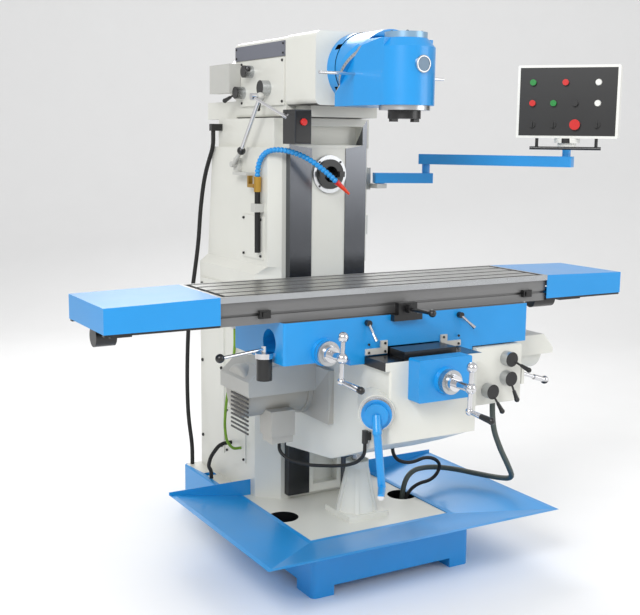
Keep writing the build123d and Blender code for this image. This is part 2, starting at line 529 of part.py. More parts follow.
# ---------------------------------------------------------------- ram with its motor
with BuildPart() as ram:
    # front block and rear block, both rounded along their upper edges
    for half, front, rear, low, high, corner in (
            (RAM_HALF_WIDTH, RAM_FRONT, RAM_STEP, RAM_BOTTOM, RAM_TOP, 26),
            (RAM_HALF_WIDTH - 4, RAM_STEP, RAM_BLOCK_REAR, COLUMN_TOP + GAP, RAM_TOP - 4, 20)):
        with BuildSketch(Plane.XZ.offset(-rear)) as profile:
            with Locations((0, (low + high) / 2)):
                Rectangle(2 * half, high - low)
            fillet(profile.vertices().group_by(Axis.Z)[-1], corner)
        extrude(amount=rear - front)
    block(-RAM_HALF_WIDTH + 4, RAM_HALF_WIDTH - 4, RAM_BLOCK_REAR, RAM_REAR, COLUMN_TOP + GAP, 1986)
    # slide plate that projects under the front block
    block(-150, 180, -100, RAM_STEP + 1, COLUMN_TOP + 4, RAM_BOTTOM + 1)
    # bore that carries the head's swivel spigot
    rod((0, RAM_FRONT - 1, DRUM_Z), (0, RAM_FRONT + 40, DRUM_Z), 90 + GAP, mode=Mode.SUBTRACT)
    rod((-40, -60, RAM_TOP), (-40, -60, RAM_TOP + 8), 14)
write(ram, "ram_casting")

with BuildPart() as ram_motor:
    rod((0, RAM_BLOCK_REAR, DRUM_Z), (0, RAM_BLOCK_REAR + 24, DRUM_Z), 114)
    rod((0, RAM_BLOCK_REAR + 24, DRUM_Z), (0, RAM_REAR - 10, DRUM_Z), 112)
    fillet(ram_motor.faces().sort_by(Axis.Y)[-1].edges(), 18)
    block(-60, 60, RAM_BLOCK_REAR + 60, RAM_REAR - 70, 1986, 2010)
    # terminal box on the ram's left side
    block(-262, -RAM_HALF_WIDTH + 4, 462, 520, 2022, 2152)
    block(-262, -208, 520, 682, 2022, 2152)
write(ram_motor, "ram_motor")

PANEL_FACE = -RAM_HALF_WIDTH - 6.0
with BuildPart() as shift_panel:
    block(PANEL_FACE, -RAM_HALF_WIDTH + 4, RAM_STEP + 3, RAM_BLOCK_REAR - 72, 1960, 2160)
    block(PANEL_FACE + 4, -RAM_HALF_WIDTH + 4, RAM_STEP + 3, RAM_BLOCK_REAR - 6, 2165, 2228)
write(shift_panel, "shift_panel")


# ---------------------------------------------------------------- vertical head
def joint_half_space(keep_body, size=700.0):
    """A large block on one side of the 45-degree swivel plane."""
    shift = SWIVEL_RING / 2 if keep_body else -GAP / 2
    normal = Vector(0, -1, -1).normalized()
    origin = Vector(0, SWIVEL_Y, SWIVEL_Z) + normal * shift
    plane = Plane(origin=origin, x_dir=(1, 0, 0), z_dir=normal if keep_body else -normal)
    with BuildPart(plane) as half:
        Box(size, size, size, align=(Align.CENTER, Align.CENTER, Align.MIN))
    return half.part


joint_normal = Vector(0, -1, -1).normalized()
centre = Vector(0, SWIVEL_Y, SWIVEL_Z)
drum_side = joint_half_space(False)
body_side = joint_half_space(True)
with BuildPart() as drum:
    rod((0, RAM_FRONT + 38, DRUM_Z), (0, RAM_FRONT - GAP, DRUM_Z), 90)
    rod((0, RAM_FRONT - GAP, DRUM_Z), (0, RAM_FRONT - DRUM_FLANGE, DRUM_Z), DRUM_RADIUS)
    rod((0, RAM_FRONT - DRUM_FLANGE, DRUM_Z), (0, SWIVEL_Y - 120, DRUM_Z), DRUM_RADIUS - 3)
    # clamp-bolt windows round the flange
    for turn in (35, 145, 215, 325):
        x, z = cos(radians(turn)) * DRUM_RADIUS, sin(radians(turn)) * DRUM_RADIUS
        with BuildSketch(Plane(origin=(x, RAM_FRONT - DRUM_FLANGE / 2 - 14, DRUM_Z + z), x_dir=(0, 1, 0), z_dir=(x, 0, z))):
            RectangleRounded(34, 26, 4)
        extrude(amount=-26, mode=Mode.SUBTRACT)
    add(drum_side, mode=Mode.INTERSECT)
    rod(tuple(centre - joint_normal * 22), tuple(centre - joint_normal * (GAP / 2)), SWIVEL_RADIUS)
write(drum, "head_drum")

with BuildPart() as head:
    with BuildSketch(Plane.XY.offset(HEAD_BOTTOM)):
        # the rear corners are cut off so that they clear the ram as the head swivels
        Polygon((-138, HEAD_REAR - HEAD_CORNER_CUT), (-50, HEAD_REAR), (50, HEAD_REAR),
                (138, HEAD_REAR - HEAD_CORNER_CUT), (138, -420), (HEAD_RADIUS - 2, SPINDLE_Y - 20),
                (-HEAD_RADIUS + 2, SPINDLE_Y - 20), (-138, -420), align=None)
    extrude(amount=HEAD_SHOULDER - HEAD_BOTTOM)
    with BuildSketch(Plane.XZ.offset(-HEAD_REAR)):
        with Locations((0, DRUM_Z)):
            Circle(152)
        with Locations((0, HEAD_BOTTOM + 46)):
            Rectangle(276, 92)
    extrude(amount=500, mode=Mode.INTERSECT)
    rod((0, SPINDLE_Y, HEAD_BOTTOM), (0, SPINDLE_Y, HEAD_SHOULDER - 34), HEAD_RADIUS)
    rod((0, SPINDLE_Y, HEAD_SHOULDER - 34), (0, SPINDLE_Y, HEAD_SHOULDER), HEAD_RADIUS, HEAD_CAP_RADIUS + 2)
    add(body_side, mode=Mode.INTERSECT)
    rod(tuple(centre + joint_normal * (GAP / 2)), tuple(centre + joint_normal * SWIVEL_RING), SWIVEL_RADIUS)
    # bore for the spindle sleeve
    rod((0, SPINDLE_Y, HEAD_BOTTOM - 1), (0, SPINDLE_Y, HEAD_BOTTOM + 120), 70 + GAP, mode=Mode.SUBTRACT)
    # seats of the sight glass and of the two lifting bars
    rod((0, SPINDLE_Y - HEAD_RADIUS + 14, SIGHT_Z), (0, SPINDLE_Y - HEAD_RADIUS - 20, SIGHT_Z), 33, mode=Mode.SUBTRACT)
    rod((-120, -425, BAR_Z + 16), (-160, -425, BAR_Z + 16), 6, mode=Mode.SUBTRACT)
    rod((HEAD_RADIUS - 20, SPINDLE_Y, BAR_Z), (HEAD_RADIUS + 20, SPINDLE_Y, BAR_Z), 6, mode=Mode.SUBTRACT)
write(head, "head_body")

with BuildPart() as head_trim:
    rod((0, SPINDLE_Y, HEAD_SHOULDER), (0, SPINDLE_Y, HEAD_CAP_TOP), HEAD_CAP_RADIUS)
    rod((0, SPINDLE_Y - HEAD_RADIUS + 14, SIGHT_Z), (0, SPINDLE_Y - HEAD_RADIUS - 7, SIGHT_Z), 33)
    rod((-120, -425, BAR_Z + 16), (-298, -425, BAR_Z + 16), 6)
    rod((HEAD_RADIUS - 20, SPINDLE_Y, BAR_Z), (182, SPINDLE_Y, BAR_Z), 6)
write(head_trim, "head_trim")


# ---------------------------------------------------------------- spindles
def spindle(nose, out, ring_radius, ring_back, sleeve_back, sleeve_radius):
    """A taper-nosed spindle: sleeve, ring, nose with two drive keys and its tapered socket."""
    nose_back = along(nose, out, -(NOSE_RING_BOTTOM - NOSE_BOTTOM))
    with BuildPart() as turned:
        rod(along(nose, out, -sleeve_back), nose_back, sleeve_radius)
        if ring_back > 0:
            rod(along(nose_back, out, -ring_back), nose_back, ring_radius)
        rod(nose_back, nose, NOSE_RADIUS)
        rod(along(nose, out, 1), along(nose, out, -TAPER_LENGTH), TAPER_MOUTH_RADIUS, TAPER_SMALL_RADIUS,
            mode=Mode.SUBTRACT)
        for side in (-1, 1):
            if abs(out[2]) > 0.5:
                block(side * 50 - 13, side * 50 + 13, nose[1] - 12, nose[1] + 12,
                      nose[2] - 12, nose[2] + 1)
            else:
                block(side * 50 - 13, side * 50 + 13, nose[1] - 12, nose[1] + 1,
                      nose[2] - 12, nose[2] + 12)
    return turned


vertical_spindle = spindle((0, SPINDLE_Y, NOSE_BOTTOM), (0, 0, -1), NOSE_RING_RADIUS,
                           HEAD_BOTTOM - NOSE_RING_BOTTOM - GAP, 150, 70)
write(vertical_spindle, "vertical_spindle")

horizontal_spindle = spindle((0, -20, HORIZONTAL_SPINDLE_Z), (0, -1, 0), NOSE_RADIUS, 0, 330, 70 - GAP)
write(horizontal_spindle, "horizontal_spindle")


# ---------------------------------------------------------------- hand cranks
def ball_crank(name, centre_x, centre_z, face, hub_y, swing):
    """Dial, shaft and ball crank on a shaft that points to the front; swing turns the arm from upright."""
    up = (sin(radians(swing)), 0, cos(radians(swing)))
    with BuildPart() as crank:
        rod((centre_x, face + 35, centre_z), (centre_x, face - GAP, centre_z), 12)
        rod((centre_x, face - GAP, centre_z), (centre_x, face - 26, centre_z), 47)
        rod((centre_x, face - 26, centre_z), (centre_x, face - 50, centre_z), 33, 30)
        rod((centre_x, face - 50, centre_z), (centre_x, hub_y, centre_z), 15)
        ball((centre_x, hub_y, centre_z), 21, up)
        hub = (centre_x, hub_y, centre_z)
        rod(along(hub, up, -84), along(hub, up, 72), 9)
        ball(along(hub, up, 78), 20, up)
        tip = along(hub, up, -86)
        ball(tip, 15, up)
        handle = tuple(Vector(0.22, -0.96, -0.15).normalized())
        rod(tip, along(tip, handle, 42), 8, 10)
        rod(along(tip, handle, 42), along(tip, handle, 104), 10, 13)
        ball(along(tip, handle, 104), 14, handle)
    write(crank, name)


ball_crank("table_crank", X_CRANK_X, X_CRANK_Z, SADDLE_FRONT - 12, -808, 2)
ball_crank("cross_crank", 0, CROSS_AXIS_Z, CROSS_BOX_FRONT - 16, -1046, 2)

with BuildPart() as elevating_crank:
    face = along(ELEVATING_SEAT, ELEVATING_OUT, GAP)
    side_way = (-ELEVATING_OUT[1], ELEVATING_OUT[0], 0)
    rod(face, along(face, ELEVATING_OUT, 10), 66)
    rod(along(face, ELEVATING_OUT, 10), along(face, ELEVATING_OUT, 26), 58)
    rod(along(face, ELEVATING_OUT, 26), along(face, ELEVATING_OUT, 44), 45)
    knuckle = along(face, ELEVATING_OUT, 44)
    elbow = (knuckle[0] + ELEVATING_OUT[0] * 26 + 6, knuckle[1] + ELEVATING_OUT[1] * 26, knuckle[2] - 56)
    foot = (elbow[0] + 30, elbow[1] + 6, elbow[2] - 220)
    rod(along(knuckle, ELEVATING_OUT, -6), elbow, 17)
    ball(elbow, 18)
    rod(elbow, foot, 15)
    ball(foot, 16)
    rod(foot, along(foot, ELEVATING_OUT, 26), 10)
    rod(along(foot, ELEVATING_OUT, 26), along(foot, ELEVATING_OUT, 110), 15, 12)
write(elevating_crank, "elevating_crank")


# ---------------------------------------------------------------- levers
def dial_lever(name, centre, out, radius, depth, lever, knob_radius=11.0):
    """A gear-change dial: a round hub standing on its panel, with a thin lever and a knob."""
    with BuildPart() as dial:
        rod(along(centre, out, GAP), along(centre, out, depth), radius)
        middle = along(centre, out, depth * 0.7)
        start = along(middle, lever, radius * 0.6)
        stem_end = along(start, lever, 34)
        rod(start, stem_end, 4.5)
        rod(stem_end, along(stem_end, lever, 40), 7, knob_radius - 1)
        ball(along(stem_end, lever, 40), knob_radius, lever)
    write(dial, name)


FRONT = (0, -1, 0)
LEFT = (-1, 0, 0)
dial_lever("feed_dial_upper", (454, GEARBOX_FRONT - 7, 930), FRONT, 31, 40, (0.74, -0.42, -0.50))
dial_lever("feed_dial_middle", (454, GEARBOX_FRONT - 7, 848), FRONT, 31, 40, (0.22, -0.30, -0.93))
dial_lever("feed_dial_lower", (360, GEARBOX_FRONT - 7, 803), FRONT, 31, 40, (0.36, -0.36, -0.86))
dial_lever("shift_dial_upper", (PANEL_FACE, 345, 2111), LEFT, 27, 44, (-0.30, -0.92, 0.05))
dial_lever("shift_dial_lower", (PANEL_FACE, 430, 2021), LEFT, 27, 44, (-0.30, 0.86, -0.38))
dial_lever("shift_dial_front", (PANEL_FACE, 185, 2034), LEFT, 33, 40, (-0.10, 0.20, -0.97), 9.0)

with BuildPart() as rapid_lever:
    root = (GEARBOX_RIGHT + 14 + GAP, -660, 850)
    reach = Vector(1, 0, -0.31).normalized()
    rod(root, along(root, (1, 0, 0), 16), 20)
    rod(along(root, (1, 0, 0), 8), along(root, tuple(reach), 92), 8)
    rod(along(root, tuple(reach), 92), along(root, tuple(reach), 140), 12)
    ball(along(root, tuple(reach), 156), 18)
write(rapid_lever, "rapid_lever")

for side, word, reach in ((-1, "left", (0.19, -0.45, -0.87)), (1, "right", (0.60, -0.45, -0.66))):
    with BuildPart() as clamp:
        pivot = (side * 219, SADDLE_FRONT - GAP, 1126)
        rod(pivot, along(pivot, FRONT, 20), 12)
        reach = tuple(Vector(*reach).normalized())
        start = along(pivot, FRONT, 12)
        rod(start, along(start, reach, 42), 5)
        rod(along(start, reach, 42), along(start, reach, 76), 5, 8)
    write(clamp, f"saddle_clamp_{word}")

with BuildPart() as feed_lever:
    root = (FEED_LEVER_X, SADDLE_FRONT - 26 - GAP, 1172)
    rod(root, along(root, FRONT, 22), 17)
    reach = tuple(Vector(0.12, -0.99, 0.0).normalized())
    rod(along(root, FRONT, 10), along(along(root, FRONT, 10), reach, 118), 7.5)
    ball(along(along(root, FRONT, 10), reach, 126), 15, reach)
write(feed_lever, "table_feed_lever")

with BuildPart() as pump_lever:
    root = (-614, PUMP_Y, 1030 + GAP)
    rod(root, (-614, PUMP_Y, 1056), 10)
    reach = tuple(Vector(-0.985, -0.16, -0.06).normalized())
    rod((-614, PUMP_Y, 1044), along((-614, PUMP_Y, 1044), reach, 190), 6)
    ball(along((-614, PUMP_Y, 1044), reach, 198), 17, reach)
write(pump_lever, "pump_lever")


# ---------------------------------------------------------------- coolant supply
HOSE_RADIUS = 10.0
HOSE_ROUTE = [(-290, 118, 1652), (-290, 118, 1716), (-276, 34, 1776), (-190, -66, 1760), (-98, -116, 1694),
              (-38, -130, 1638)]
tube("coolant_hose", HOSE_ROUTE, HOSE_RADIUS)
with BuildPart() as coolant_line:
    rod((-290, 118, 1322), (-290, 118, 1587), 13 - GAP)
    rod((-290, 118, 1587), (-290, 118, 1640), 16)
    rod((-290, 118, 1640), (-290, 118, 1652), 17)
    rod((-290, 118, 1612), (-290, 150, 1612), 9)
    block(-300, -280, 140, 191, 1604, 1620)
    block(-300, -280, 186, 200, 1604, 1655)
    # nozzle on the hose's free end
    spout = tuple((Vector(*HOSE_ROUTE[-1]) - Vector(*HOSE_ROUTE[-2])).normalized())
    rod(HOSE_ROUTE[-1], along(HOSE_ROUTE[-1], spout, 78), 13, 5)
write(coolant_line, "coolant_line")

# ---------------------------------------------------------------- cables and hoses held along their way
tube("motor_cable", [(-378, -262, 577), (-378, -262, 530), (-352, -304, 500), (-300, -372, 490), (-240, -456, 500),
                     (-226, -560, 530), (-228, -640, 566), (-228, -690, 610), (-228, -690, 655)], 7)
tube("floor_conduit", [(-305, 362, 400), (-362, 362, 400), (-400, 386, 340), (-394, 430, 276), (-364, 464, 240),
                       (-364, 464, BASE_HEIGHT)], 9)
tube("earth_hose", [(-305, 258, 400), (-345, 258, 400), (-372, 268, 436), (-372, 292, 500), (-350, 326, 590),
                    (-328, 326, 720), (-320, 290, 850), (-320, 290, 960)], 6.5)
tube("column_conduit", [(-282, 600, 1850), (-282, 600, 1780), (-288, 690, 1640), (-290, 738, 1480), (-296, 752, 1310),
                        (-316, 768, 1130), (-340, 776, 950), (-344, 790, 770), (-352, 780, 600), (-356, 760, 440),
                        (-352, 722, 300), (-352, 722, BASE_HEIGHT)], 10)
tube("knee_hose", [(438, -640, GEARBOX_BOTTOM), (438, -640, 640), (486, -636, 530), (556, -624, 424), (628, -570, 346),
                   (646, -452, 312), (610, -330, 304), (560, -216, 304), (474, -144, 306), (378, -134, 296),
                   (318, -158, 226), (312, -164, 120)], 12)
tube("knee_cable", [(190, -262, 478), (190, -262, 420), (284, -258, 376), (392, -254, 400), (476, -248, 350),
                    (440, -240, 276), (350, -212, 258), (304, -196, 190), (302, -192, 110)], 8)

# ---------------------------------------------------------------- pendant arms
def arm(name, start, end, z, start_hub, end_hub):
    """A box-section arm with round bosses: start_hub and end_hub are height ranges of its pivots."""
    first, last = Vector(start[0], start[1], z), Vector(end[0], end[1], z)
    direction = (last - first).normalized()
    middle = (first + last) / 2
    with BuildPart() as link:
        frame = Plane(origin=middle, x_dir=direction, z_dir=(0, 0, 1))
        with BuildSketch(frame.offset(-ARM_HEIGHT / 2)):
            RectangleRounded((last - first).length + ARM_WIDTH, ARM_WIDTH, 8)
        extrude(amount=ARM_HEIGHT)
        for point, (low, high), radius in ((first, start_hub, 22), (last, end_hub, 18)):
            rod((point.X, point.Y, low), (point.X, point.Y, high), radius)
    write(link, name)


arm("pendant_lower_arm", PENDANT_BASE[:2], PENDANT_ELBOW, LOWER_ARM_Z, (1619, 1623), (1667, 1708))
arm("pendant_upper_arm", PENDANT_ELBOW, PENDANT_POST, UPPER_ARM_Z, (1708.3, 1710), (1754, 1796))

# ---------------------------------------------------------------- pendant
PANEL_OUT = (-sin(radians(PENDANT_TURN)), -cos(radians(PENDANT_TURN)), 0.0)
PANEL_RIGHT = (cos(radians(PENDANT_TURN)), -sin(radians(PENDANT_TURN)), 0.0)
PENDANT_MIDDLE_Z = PENDANT_BOTTOM + PENDANT_HEIGHT / 2


def on_panel(right, up, out):
    """A point from its place on the pendant: to the right, up and out from the middle of its box."""
    return (PENDANT_POST[0] + PANEL_RIGHT[0] * right + PANEL_OUT[0] * out,
            PENDANT_POST[1] + PANEL_RIGHT[1] * right + PANEL_OUT[1] * out,
            PENDANT_MIDDLE_Z + up)


PANEL_FRONT = PENDANT_DEPTH / 2
COLUMN_1, COLUMN_2, COLUMN_3, COLUMN_4 = PENDANT_COLUMNS
ROW_1, ROW_2, ROW_3 = PENDANT_ROWS
BUTTON_PLACES = [(COLUMN_1, ROW_1), (-10.0, ROW_1), (COLUMN_1, ROW_2), (COLUMN_2, ROW_2), (COLUMN_3, ROW_2)]
LAMP_PLACES = [(COLUMN_4, ROW_1), (COLUMN_4, ROW_2)]
SELECTOR_PLACES = [(COLUMN_1, ROW_3), (COLUMN_2, ROW_3), (COLUMN_4, ROW_3)]
STOP_PLACE = (COLUMN_3 + 4, ROW_3)
with BuildPart() as pendant:
    with BuildSketch(Plane(origin=on_panel(0, 0, -PANEL_FRONT), x_dir=PANEL_RIGHT, z_dir=PANEL_OUT)):
        RectangleRounded(PENDANT_WIDTH, PENDANT_HEIGHT, 7)
    extrude(amount=PENDANT_DEPTH)
    with BuildSketch(Plane(origin=on_panel(0, 0, PANEL_FRONT), x_dir=PANEL_RIGHT, z_dir=PANEL_OUT)):
        Rectangle(PENDANT_WIDTH - 22, PENDANT_HEIGHT - 22)
    extrude(amount=2)
    # sockets of the push buttons, selectors and the stop button
    for right, up in BUTTON_PLACES + SELECTOR_PLACES + [STOP_PLACE]:
        rod(on_panel(right, up, PANEL_FRONT - 20), on_panel(right, up, PANEL_FRONT + 3),
            BUTTON_RADIUS - 3, mode=Mode.SUBTRACT)
    # swivel under the box
    rod((PENDANT_POST[0], PENDANT_POST[1], 1796 + GAP), (PENDANT_POST[0], PENDANT_POST[1], 1812), 40)
    rod((PENDANT_POST[0], PENDANT_POST[1], 1812), (PENDANT_POST[0], PENDANT_POST[1], PENDANT_BOTTOM), 54)
write(pendant, "pendant_box")

with BuildPart() as pendant_trim:
    # grab bar under the front edge
    bar_height = -PENDANT_HEIGHT / 2 - 42
    for side in (-1, 1):
        rod(on_panel(side * 126, -PENDANT_HEIGHT / 2, 26), on_panel(side * 126, bar_height, 26), 7)
        ball(on_panel(side * 126, bar_height, 26), 7)
        rod(on_panel(side * 126, bar_height, 26), on_panel(side * 126, bar_height, 62), 7)
    rod(on_panel(-150, bar_height, 62), on_panel(150, bar_height, 62), 7)
    # pilot lamps
    for right, up in LAMP_PLACES:
        rod(on_panel(right, up, PANEL_FRONT + 2), on_panel(right, up, PANEL_FRONT + 12), BUTTON_RADIUS + 1,
            BUTTON_RADIUS - 1)
write(pendant_trim, "pendant_trim")


def push_button(name, right, up, cap_radius=BUTTON_RADIUS, cap=10.0):
    """A push button: stem in its socket and a round cap, with room to travel inwards."""
    with BuildPart() as button:
        rod(on_panel(right, up, PANEL_FRONT - 12), on_panel(right, up, PANEL_FRONT + 7), BUTTON_RADIUS - 3 - GAP)
        rod(on_panel(right, up, PANEL_FRONT + 7), on_panel(right, up, PANEL_FRONT + 7 + cap), cap_radius)
    write(button, name)


def selector(name, right, up):
    """A selector switch: a round knob with a finger bar across it."""
    with BuildPart() as knob:
        rod(on_panel(right, up, PANEL_FRONT - 12), on_panel(right, up, PANEL_FRONT + 3), BUTTON_RADIUS - 3 - GAP)
        rod(on_panel(right, up, PANEL_FRONT + 3), on_panel(right, up, PANEL_FRONT + 10), BUTTON_RADIUS + 1)
        with BuildSketch(Plane(origin=on_panel(right, up, PANEL_FRONT + 10), x_dir=PANEL_RIGHT, z_dir=PANEL_OUT)):
            RectangleRounded(7, 26, 3)
        extrude(amount=9)
    write(knob, name)


for name, place in zip(("button_green_upper", "button_red_upper", "button_red_lower", "button_green_lower",
                        "button_black"), BUTTON_PLACES):
    push_button(name, *place)
push_button("stop_button", *STOP_PLACE, 22.0, 14.0)
for name, place in zip(("selector_left", "selector_middle", "selector_right"), SELECTOR_PLACES):
    selector(name, *place)

# ---------------------------------------------------------------- switch on its jointed arm
with BuildPart() as switch_arm:
    rod((-285, 345, 1700), (-312, 345, 1700), 13)
    rod((-300, 345, 1700), (-304, 250, 1762), 9)
    ball((-304, 250, 1762), 19)
    rod((-304, 250, 1762), (-306, 60, 1990), 9)
    ball((-306, 60, 1990), 19)
write(switch_arm, "switch_arm")

with BuildPart() as switch_box:
    rod((-325 - GAP, 60, 1990), (-350, 60, 1990), 15)
    rod((-343, 60, 1990), (-262, -70, 1912), 6.5)
    block(-254, -176, -152, -48, 1795, 1936)
    rod((-266, -68, 1915), (-246, -72, 1904), 9)
write(switch_box, "switch_box")
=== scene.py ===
from math import cos, pi, radians, sin

import bpy
import numpy as np
from mathutils import Matrix, Vector


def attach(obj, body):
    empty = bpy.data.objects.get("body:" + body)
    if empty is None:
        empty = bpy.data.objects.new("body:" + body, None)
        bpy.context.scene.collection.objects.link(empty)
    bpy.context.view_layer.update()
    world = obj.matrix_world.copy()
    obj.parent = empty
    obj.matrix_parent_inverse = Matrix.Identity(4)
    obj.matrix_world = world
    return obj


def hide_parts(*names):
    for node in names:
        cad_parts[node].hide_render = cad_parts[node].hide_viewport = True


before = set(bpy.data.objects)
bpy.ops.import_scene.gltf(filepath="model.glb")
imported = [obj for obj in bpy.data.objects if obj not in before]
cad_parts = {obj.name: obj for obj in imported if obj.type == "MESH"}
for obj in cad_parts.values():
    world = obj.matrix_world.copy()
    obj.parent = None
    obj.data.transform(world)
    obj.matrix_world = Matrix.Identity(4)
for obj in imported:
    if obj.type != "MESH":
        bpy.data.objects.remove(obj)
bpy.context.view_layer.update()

# Looks for the knee-type milling machine.  Metres, in the frame of the CAD model.

# ---------------------------------------------------------------- camera
CAMERA_PLACE = Vector((-2.366, -4.048, 1.812))
CAMERA_YAW = radians(30.45)       # turned from +Y towards +X
CAMERA_PITCH = radians(9.39)      # looking down
CAMERA_ROLL = radians(0.68)
SENSOR_WIDTH = 36.0               # millimetres, as is the focal length
FOCAL_LENGTH = 59.68125
SHIFT_RIGHT, SHIFT_UP = -0.01546875, 0.01296875     # of the lens, as shares of the image's width

view_level = Vector((sin(CAMERA_YAW), cos(CAMERA_YAW), 0))
level_right = Vector((cos(CAMERA_YAW), -sin(CAMERA_YAW), 0))
forward = view_level * cos(CAMERA_PITCH) + Vector((0, 0, -sin(CAMERA_PITCH)))
level_up = level_right.cross(forward)
right = cos(CAMERA_ROLL) * level_right + sin(CAMERA_ROLL) * level_up
up = -sin(CAMERA_ROLL) * level_right + cos(CAMERA_ROLL) * level_up
lens = bpy.data.cameras.new("camera")
lens.sensor_width = SENSOR_WIDTH
lens.lens = FOCAL_LENGTH
lens.shift_x = SHIFT_RIGHT
lens.shift_y = SHIFT_UP
camera = bpy.data.objects.new("camera", lens)
bpy.context.collection.objects.link(camera)
camera.matrix_world = Matrix((right, up, -forward)).transposed().to_4x4()
camera.matrix_world.translation = CAMERA_PLACE
bpy.context.scene.camera = camera


# ---------------------------------------------------------------- shader arithmetic
class Value:
    """A shader output that takes part in ordinary arithmetic with numbers and other outputs."""

    def __init__(self, tree, socket):
        self.tree = tree
        self.socket = socket

    def maths(self, operation, other):
        return shader_value(self.tree, "ShaderNodeMath", 0, {"operation": operation}, {0: self, 1: other})

    def __add__(self, other):
        return self.maths("ADD", other)

    def __mul__(self, other):
        return self.maths("MULTIPLY", other)

    __radd__ = __add__
    __rmul__ = __mul__


def set_input(tree, socket, value):
    """Link a Value to a socket, or write a plain number or colour on it."""
    if isinstance(value, Value):
        tree.links.new(value.socket, socket)
    else:
        socket.default_value = value


def shader_value(tree, kind, output=0, settings=None, inputs=None):
    """One output of a new node; settings are set first, then the inputs by socket name or number."""
    node = tree.nodes.new(kind)
    for name, setting in (settings or {}).items():
        setattr(node, name, setting)
    for name, value in (inputs or {}).items():
        set_input(tree, node.inputs[name], value)
    return Value(tree, node.outputs[output])


MIX_FACTOR, MIX_FIRST, MIX_SECOND = 0, 6, 7        # sockets of a Mix node that mixes colours
MIX_COLOUR = 2                                     # its colour output
RANGE_FROM_LOW, RANGE_FROM_HIGH, RANGE_TO_LOW, RANGE_TO_HIGH = 1, 2, 3, 4


def mix_colours(tree, factor, first, second):
    """The first colour where factor is 0, the second where it is 1."""
    return shader_value(tree, "ShaderNodeMix", MIX_COLOUR, {"data_type": "RGBA"},
                        {MIX_FACTOR: factor, MIX_FIRST: first, MIX_SECOND: second})


def noise(tree, place, scale, **more):
    """Noise of that scale at a place, about 0.5 on average."""
    return shader_value(tree, "ShaderNodeTexNoise", 0, None, {"Vector": place, "Scale": scale, **more})


def linear(colour):
    """sRGB channels from 0 to 1, turned into linear light with alpha 1."""
    return tuple(((c + 0.055) / 1.055) ** 2.4 if c > 0.04045 else c / 12.92 for c in colour) + (1,)


MOTTLE_DARKER, MOTTLE_LIGHTER = 2.2, 1.2   # how far a unit of mottling moves the colour each way
ROUGHNESS_SPREAD = 0.16
COAT_ROUGHNESS = 0.15
GRAIN_DEPTH = 0.001
SHADE_COLOUR = (0.01, 0.01, 0.012, 1)


def mottled(colour, amount):
    """A linear colour made lighter, or darker when amount is negative, in that share."""
    return tuple(min(1, c * (1 + amount)) for c in colour[:3]) + (1,)


def surface(name, colour, roughness, metallic=0.0, coat=0.0, mottle=0.06, mottle_scale=3.0,
            grain=0.04, grain_scale=260.0, streak=(1, 1, 1), shade=None):
    """A material: mottled colour, uneven roughness and a fine grain; streak stretches the mottling.

    shade is (axis, low, high, share of colour at low): the colour darkens towards low along it."""
    material = bpy.data.materials.new(name)
    material.use_nodes = True
    tree = material.node_tree
    shader = tree.nodes["Principled BSDF"]
    place = shader_value(tree, "ShaderNodeTexCoord", "Object")
    stretched = shader_value(tree, "ShaderNodeMapping", 0, None, {"Vector": place, "Scale": streak})
    spots = noise(tree, stretched, mottle_scale, Detail=5.0, Roughness=0.6)
    specks = noise(tree, stretched, grain_scale, Detail=2.0)
    base = linear(colour)
    darker, lighter = mottled(base, -MOTTLE_DARKER * mottle), mottled(base, MOTTLE_LIGHTER * mottle)
    paint_colour = mix_colours(tree, spots, darker, lighter)
    if shade:
        axis, low, high, share = shade
        along = shader_value(tree, "ShaderNodeSeparateXYZ", axis, None, {"Vector": place})
        strength = shader_value(tree, "ShaderNodeMapRange", 0, None,
                                {"Value": along, RANGE_FROM_LOW: low, RANGE_FROM_HIGH: high,
                                 RANGE_TO_LOW: share, RANGE_TO_HIGH: 1.0})
        paint_colour = mix_colours(tree, strength, SHADE_COLOUR, paint_colour)
    bump = shader_value(tree, "ShaderNodeBump", 0, None,
                        {"Height": specks, "Strength": grain, "Distance": GRAIN_DEPTH})
    finish = {
        "Base Color": paint_colour,
        "Roughness": spots * ROUGHNESS_SPREAD + (roughness - ROUGHNESS_SPREAD / 2),
        "Normal": bump,
        "Metallic": metallic,
        "Coat Weight": coat,
        "Coat Roughness": COAT_ROUGHNESS,
    }
    for socket, value in finish.items():
        set_input(tree, shader.inputs[socket], value)
    return material


BLUE = surface("blue_enamel", (0.08, 0.56, 0.84), 0.34, coat=0.25, grain=0.10)
WHITE = surface("white_enamel", (0.84, 0.84, 0.81), 0.38, coat=0.2, grain=0.10, mottle=0.03)
LIGHT = surface("light_grey_enamel", (0.74, 0.74, 0.72), 0.42, grain=0.08)
WARM = surface("motor_enamel", (0.70, 0.69, 0.66), 0.45, grain=0.10)
PANEL = surface("panel_grey", (0.42, 0.43, 0.47), 0.45)
BOX_GREY = surface("switch_grey", (0.26, 0.27, 0.29), 0.5)
# black paint; also painted shade on the ram's underside and on the floors of the table's slots
BLACK = surface("black_paint_and_painted_shade", (0.045, 0.045, 0.05), 0.38, coat=0.3)
RUBBER = surface("black_rubber", (0.06, 0.06, 0.06), 0.65, grain=0.25)
HOSE_GREY = surface("grey_green_hose", (0.30, 0.33, 0.31), 0.55, grain=0.2)
EARTH = surface("earth_sheath", (0.45, 0.62, 0.14), 0.5, mottle=0.2, mottle_scale=60)
GROUND = surface("ground_steel", (0.62, 0.62, 0.62), 0.26, metallic=1.0, streak=(60, 60, 1), mottle_scale=4)
WAYS = surface("guideway_steel", (0.46, 0.47, 0.49), 0.24, metallic=1.0, streak=(70, 70, 1), mottle_scale=3,
               shade=("Z", 0.9, 1.9, 0.35))
TABLE = surface("table_iron", (0.66, 0.66, 0.65), 0.3, metallic=1.0, streak=(1, 60, 60), mottle_scale=3)
TABLE_FRONT = surface("table_side_iron", (0.50, 0.50, 0.50), 0.42, metallic=0.7, streak=(1, 30, 30))
